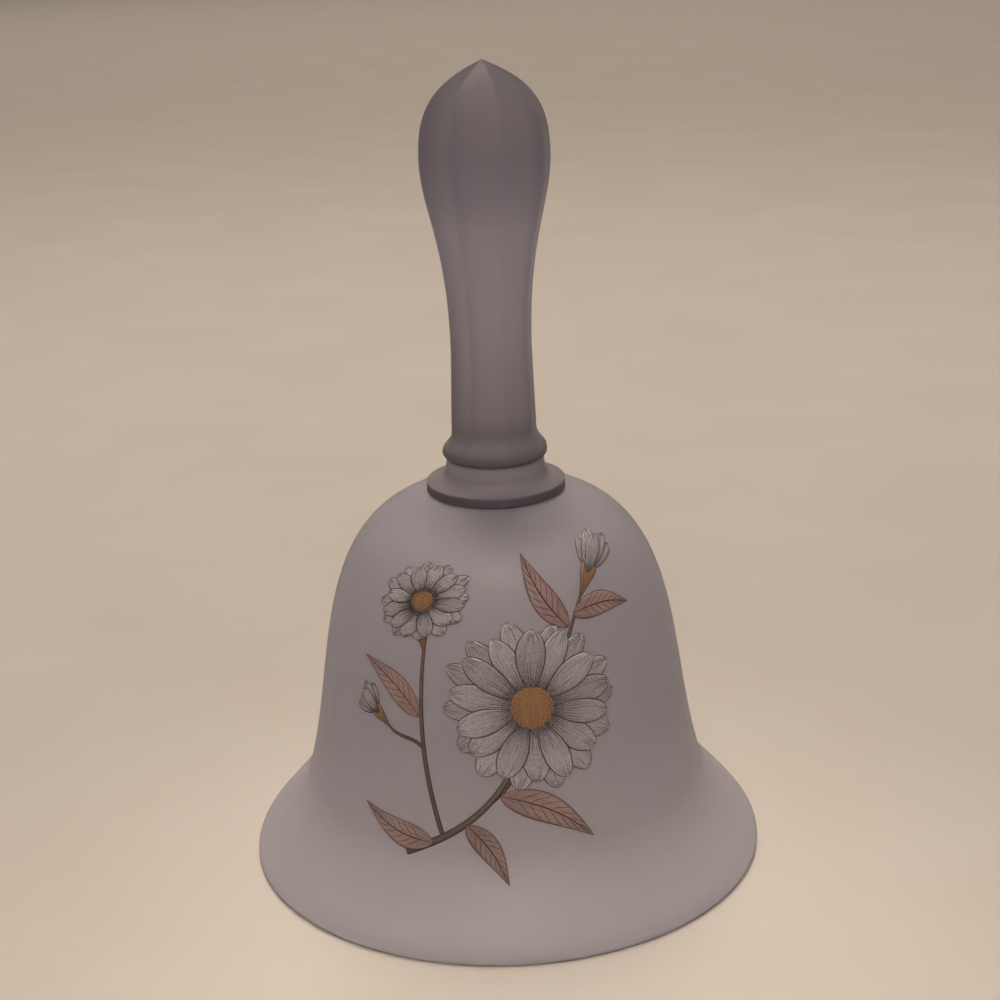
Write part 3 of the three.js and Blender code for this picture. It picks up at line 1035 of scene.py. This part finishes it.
def draw_disc(sheets, place, radius):
    """The bloom's middle: an ochre dome with florets in spirals and a dark fringe round it."""

    def at(along, across):
        return place(radius * Vector((across * half_wave(along), -math.cos(math.pi * along))))

    sheets["ochre"].patch(grid(at, rows=16, columns=8), DISC)
    ink = sheets["ink"]
    for k in range(1, FLORETS):
        offset = heading_at(GOLDEN_TURN * k) * radius * math.sqrt(k / FLORETS)
        ink.dot(place(offset), 0.05 + 0.1 * k / FLORETS, DISC)
    for k in range(FRINGE_DOTS):
        out = radius * chance.uniform(1.0, 1.42)
        ink.dot(place(heading_at(GOLDEN_TURN * k) * out), chance.uniform(0.08, 0.16), DISC)


def leaf_shape(base, tip, width, bend):
    """A lance-shaped leaf that tapers to both ends along a bent rib."""
    span = tip - base
    aside = left_of(span).normalized()

    def at(along, across):
        half = width / 2 * swell(along, lean=0.75, power=0.9) * (1 - LEAF_TAPER * along)
        return base + span * along + aside * (bend * half_wave(along) + across * half)

    return at


def vein_path(shape, start, side):
    """A side vein that runs from the rib towards the leaf's edge."""
    path = []
    for i in range(VEIN_FACES + 1):
        across = side * VEIN_SPAN * (i / VEIN_FACES) ** VEIN_BOW
        path.append(shape(start + VEIN_CLIMB * i / VEIN_FACES, across))
    return path


def draw_leaf(sheets, base, tip, width, bend):
    """One leaf with its outline, rib and side veins."""
    base = Vector(base)
    tip = Vector(tip)
    shape = leaf_shape(base, tip, width, bend)
    rows = max(10, round((tip - base).length / PATCH_STEP))
    sheets["leaves"].patch(grid(shape, rows, columns=8), LEAF, chance.random())
    ink = sheets["leaf_lines"]
    for side in (-1, 1):
        outline = edge_path(shape, side, start=0, end=1, steps=rows)
        ink.stroke(outline, OUTLINE * 0.8, LEAF)
        for k in range(1, LEAF_VEINS + 1):
            ink.stroke(vein_path(shape, VEIN_FOOT + VEIN_STEP * k, side), VEIN, LEAF)
    rib = edge_path(shape, across=0, start=0, end=0.98, steps=rows)
    ink.stroke(rib, OUTLINE * 1.4, LEAF, least=0.2)


def draw_stem(sheets, points, width, layer):
    """A stem along a curve, with dark edges and short shading lines on its lower side."""
    path, headings = bezier(*[Vector(point) for point in points])
    rows = []
    for i, (place, heading) in enumerate(zip(path, headings)):
        half = width / 2 * (STEM_FOOT - STEM_TAPER * i / CURVE_STEPS)
        aside = half * left_of(heading)
        rows.append([place + aside * share for share in STEM_ROWS])
    left = [row[-1] for row in rows]
    right = [row[0] for row in rows]
    sheets["stems"].patch(rows, layer)
    ink = sheets["ink"]
    ink.stroke(left, OUTLINE * 0.8, layer, least=0.6)
    ink.stroke(right, OUTLINE * 1.2, layer, least=0.6)
    for edge, place in zip(right[1:-1], path[1:-1]):
        reach = chance.uniform(0.3, 0.95)
        ink.stroke([edge.lerp(place, reach * t / 2) for t in range(3)], HATCH, layer)


def draw_calyx(sheets, base, heading, length, width):
    """The cup under a bud or bloom, narrow at the stem and full at the top."""
    aside = left_of(heading)

    def at(along, across):
        half = width / 2 * (CUP_FOOT + (1 - CUP_FOOT) * along**1.3) * (1 - max(0, along - CUP_TURN))
        reach = length * (along + CUP_DOME * (1 - across * across) * along)
        return base + heading * reach + aside * across * half

    sheets["ochre"].patch(grid(at, rows=10, columns=6), CALYX)
    ink = sheets["ink"]
    for across in CUP_LINES:
        pen = OUTLINE if abs(across) == 1 else HATCH
        ink.stroke(edge_path(at, across, start=0, end=0.98, steps=10), pen, CALYX)
    mouth = [at(0.985, -1 + i / 6) for i in range(13)]
    ink.stroke(mouth, OUTLINE, CALYX)


def draw_bud(sheets, base, degrees, size):
    """A half-open bud: a calyx with five petals standing out of it."""
    heading = heading_at(degrees)
    base = Vector(base)
    mouth = base + heading * BUD_MOUTH * size

    def place(offset):
        return mouth + offset

    for lean, layer in BUD_PETALS:
        length = size * chance.uniform(0.56, 0.66)
        shape = petal_shape(
            place,
            angle=degrees + lean,
            start=-0.06 * size,
            length=length,
            width=0.27 * size,
            bend=lean * 0.004 * size,
        )
        draw_petal(sheets, shape, layer, chance.random(), length)
    draw_calyx(sheets, base, heading, length=0.42 * size, width=0.36 * size)


def print_sheets():
    """An empty sheet for each colour of enamel."""
    petal_stops = [(0.0, srgb(126, 122, 130)), (0.3, srgb(176, 174, 182)), (1.0, srgb(206, 205, 214))]
    leaf_stops = [(0.0, srgb(162, 137, 136)), (0.5, srgb(188, 163, 162)), (1.0, srgb(172, 150, 149))]
    stem_stops = [(0.0, srgb(108, 99, 90)), (1.0, srgb(136, 127, 117))]
    ochre_stops = [(0.0, srgb(168, 128, 90)), (1.0, srgb(190, 148, 106))]
    ink_stops = [(0.0, srgb(52, 46, 46)), (1.0, srgb(66, 58, 57))]
    leaf_line_stops = [(0.0, srgb(70, 46, 44)), (1.0, srgb(88, 60, 56))]
    enamels = {
        "petals": enamel("petal_enamel", petal_stops, streak=0.09, roughness=0.17),
        "leaves": enamel("leaf_enamel", leaf_stops, streak=0.16, roughness=0.34),
        "stems": enamel("stem_enamel", stem_stops, streak=0.3, roughness=0.4),
        "ochre": enamel("ochre_enamel", ochre_stops, streak=0.2, roughness=0.34),
        "ink": enamel("ink_enamel", ink_stops, streak=0.5, roughness=0.4),
        "leaf_lines": enamel("leaf_line_enamel", leaf_line_stops, streak=0.5, roughness=0.4),
    }
    return {name: Sheet(f"print_{name}", material) for name, material in enamels.items()}


def make_print():
    """A spray of daisies that rises from the lower left, with buds and lance-shaped leaves."""
    sheets = print_sheets()
    for points, width, layer in STEMS:
        draw_stem(sheets, points, width, layer)
    for base, tip, width, bend in LEAVES:
        draw_leaf(sheets, base, tip, width, bend)
    for base, degrees, size in BUDS:
        draw_bud(sheets, base, degrees, size)
    base, degrees, length, width = BLOOM_CUP
    draw_calyx(sheets, Vector(base), heading_at(degrees), length, width)
    for centre, radius, petals, squash, facing in BLOOMS:
        draw_bloom(sheets, Vector(centre), radius, petals, squash, facing)
    for sheet in sheets.values():
        sheet.make()


# Stage

def pale_floor():
    """Matt pale floor with a faint mottle."""
    material, tree, shader = new_material("pale_floor", Roughness=0.9)
    mottle = noise(tree, 60, detail=5)
    colour_by(tree, shader, mottle, [(0.3, srgb(206, 201, 194)), (0.7, srgb(210, 206, 200))])
    return material


def make_floor():
    """A plain square floor under the bell."""
    half = FLOOR_SIZE / 2
    corners = [(-half, -half), (half, -half), (half, half), (-half, half)]
    mesh = bpy.data.meshes.new("floor")
    mesh.from_pydata([MM * Vector((x, y, -FLOOR_DROP)) for x, y in corners], [], [(0, 1, 2, 3)])
    mesh.materials.append(pale_floor())
    floor = bpy.data.objects.new("floor", mesh)
    bpy.context.scene.collection.objects.link(floor)


def add_light(name, place, target, size, power, spread=180):
    """A square soft light that faces a target, in millimetres, watts and degrees."""
    data = bpy.data.lights.new(name, "AREA")
    data.size = size * MM
    data.energy = power
    data.color = LIGHT_COLOUR
    data.spread = math.radians(spread)
    light = bpy.data.objects.new(name, data)
    light.location = MM * Vector(place)
    light.rotation_euler = (Vector(target) - Vector(place)).to_track_quat("-Z", "Y").to_euler()
    bpy.context.scene.collection.objects.link(light)


def make_lights():
    """Soft warm light from above, a pool of it on the floor in front and a weak key from the left."""
    world = bpy.data.worlds.new("studio")
    world.use_nodes = True
    sky = world.node_tree.nodes["Background"]
    sky.inputs["Color"].default_value = WORLD_COLOUR
    sky.inputs["Strength"].default_value = WORLD_STRENGTH
    bpy.context.scene.world = world
    add_light("distance", place=(0, 2700, 2000), target=(0, 2700, 0), size=3000, power=8, spread=80)
    add_light("ceiling", place=(0, 1300, 2400), target=(0, 1300, 0), size=4400, power=9)
    add_light("overhead", place=(-30, 400, 1150), target=(0, 0, 0), size=480, power=7.4)
    add_light("pool", place=(0, -320, 700), target=(0, -75, 0), size=120, power=0.045, spread=24)
    add_light("key", place=(-200, -620, 900), target=(0, 0, 40), size=140, power=0.8)


def make_camera():
    """The camera at the photograph's angle, with the plain view transform."""
    data = bpy.data.cameras.new("camera")
    data.lens = CAMERA_LENS
    camera = bpy.data.objects.new("camera", data)
    camera.location = MM * Vector(CAMERA_PLACE)
    look = (Vector(CAMERA_TARGET) - Vector(CAMERA_PLACE)).to_track_quat("-Z", "Y")
    camera.rotation_euler = (look @ Quaternion((0, 0, 1), CAMERA_ROLL)).to_euler()
    bpy.context.scene.collection.objects.link(camera)
    bpy.context.scene.camera = camera
    bpy.context.scene.view_settings.view_transform = "Standard"


wire = plated_wire()
make_camera()
make_bowl(bowl_satin())
make_handle(handle_satin())
make_bond(bond_film())
make_cement(set_cement())
make_eye(wire)
for link_number in range(1, LINKS + 1):
    make_link(link_number, wire)
make_pin(wire)
make_bead(bead_glass())
make_print()
make_floor()
make_lights()
